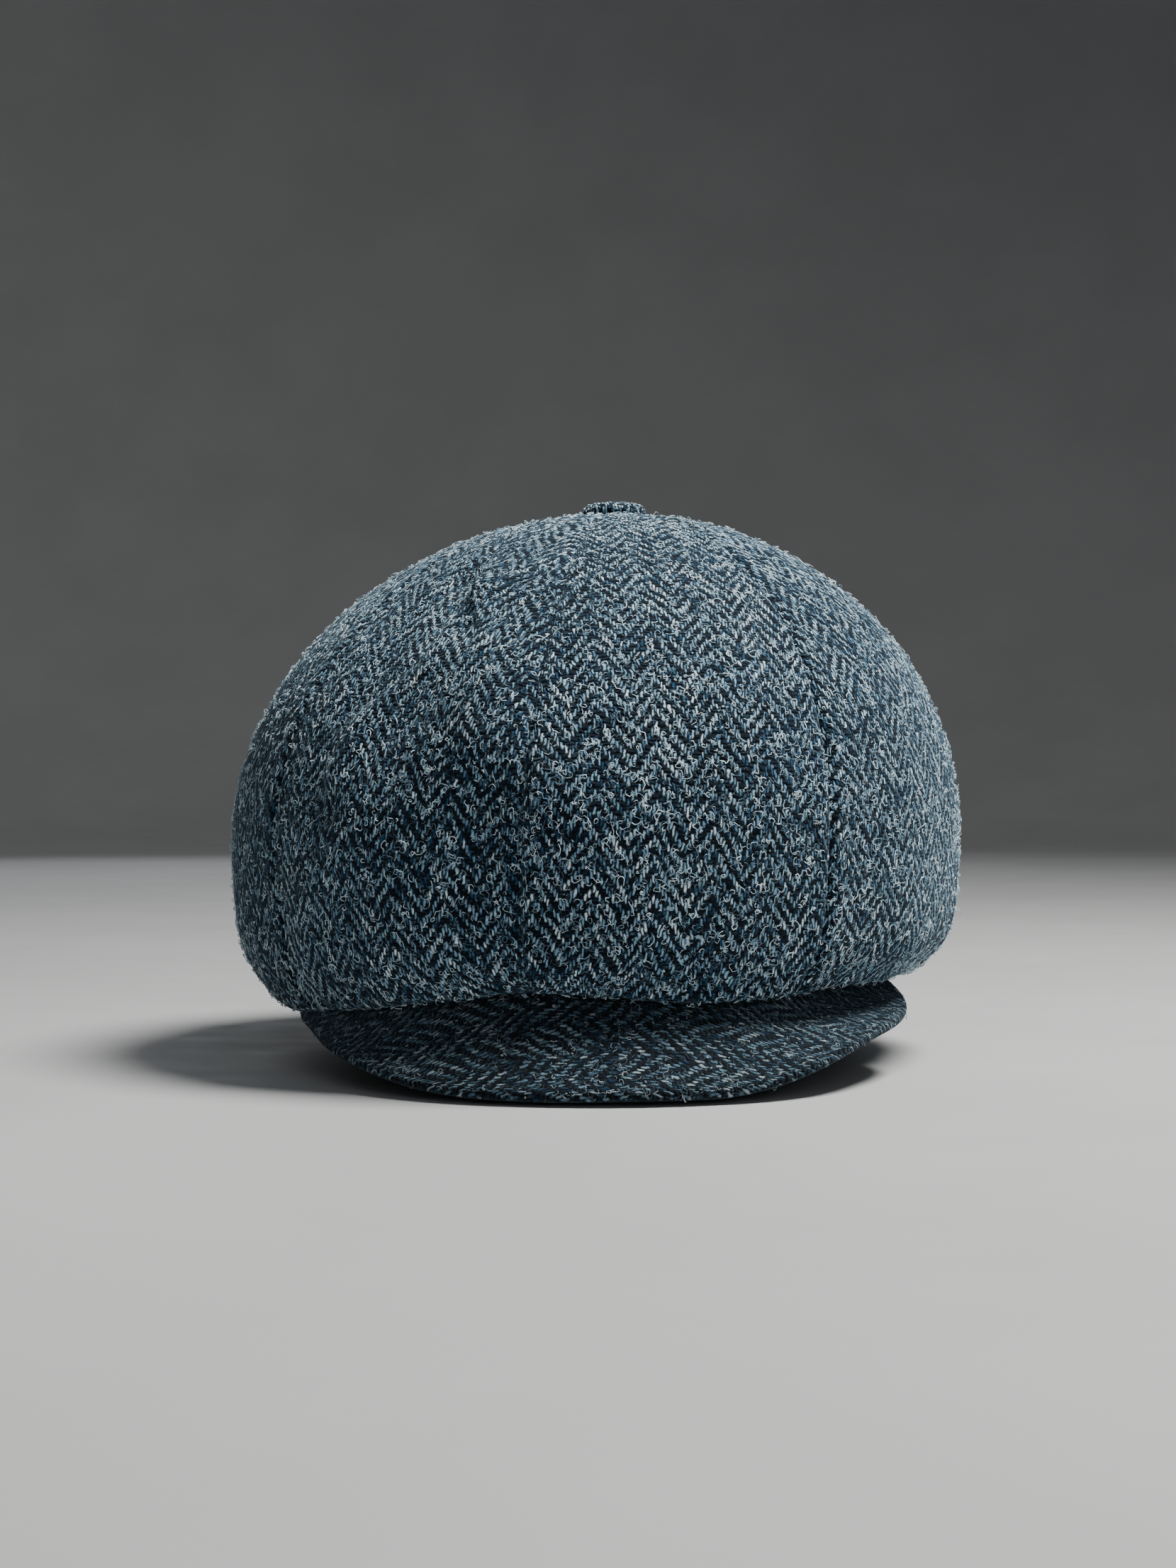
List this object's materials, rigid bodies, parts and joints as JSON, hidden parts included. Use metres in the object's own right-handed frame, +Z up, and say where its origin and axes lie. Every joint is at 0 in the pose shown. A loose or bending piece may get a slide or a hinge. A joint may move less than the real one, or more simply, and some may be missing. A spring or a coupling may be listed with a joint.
{
  "type": "newsboy cap",
  "caption": "Full-crowned herringbone tweed newsboy cap with a covered top button, folded lip and short flexible visor.",
  "frame": {"origin": "centre of the head opening in the plane of the head band's lower edge", "axes": "+Z up through the crown, -Y to the front over the visor, +X to the wearer's left"},
  "size_m": [0.2614, 0.2889, 0.1986],
  "materials": {
    "tweed": "herringbone wool tweed, charcoal and blue-grey, hairy",
    "lining_satin": "satin, midnight blue",
    "sweatband_cotton": "matte cotton twill tape, dark",
    "stiffener_board": "stiff buckram, matte",
    "visor_board": "flexible visor board, matte",
    "button_metal": "pressed steel, dull",
    "thread": "waxed thread, dark",
    "label": "blank woven label"
  },
  "bodies": {
    "cap": {"sweatband": "sweatband_cotton", "band_stiffener": "stiffener_board", "head_band": "tweed", "crown_gore_1": "tweed", "crown_gore_2": "tweed", "crown_gore_3": "tweed", "crown_gore_4": "tweed", "crown_gore_5": "tweed", "crown_gore_6": "tweed", "crown_gore_7": "tweed", "crown_gore_8": "tweed", "lining_gore_1": "lining_satin", "lining_gore_2": "lining_satin", "lining_gore_3": "lining_satin", "lining_gore_4": "lining_satin", "lining_gore_5": "lining_satin", "lining_gore_6": "lining_satin", "lining_gore_7": "lining_satin", "lining_gore_8": "lining_satin", "button_cover": "tweed", "button_shell": "button_metal", "button_back": "button_metal", "button_shank": "thread", "lining_label": "label", "size_tab": "label"},
    "visor": {"visor_board": "visor_board", "visor_top_cover": "tweed", "visor_under_cover": "tweed"}
  },
  "joints": [
    {"name": "visor_flex", "type": "hinge", "parent": "cap", "child": "visor", "pos_m": [0, -0.03, -0.005], "axis": [1, 0, 0], "range_deg": [0, 8], "stiffness_Nm_per_rad": 0.4, "springref_deg": -6.88}
  ]
}
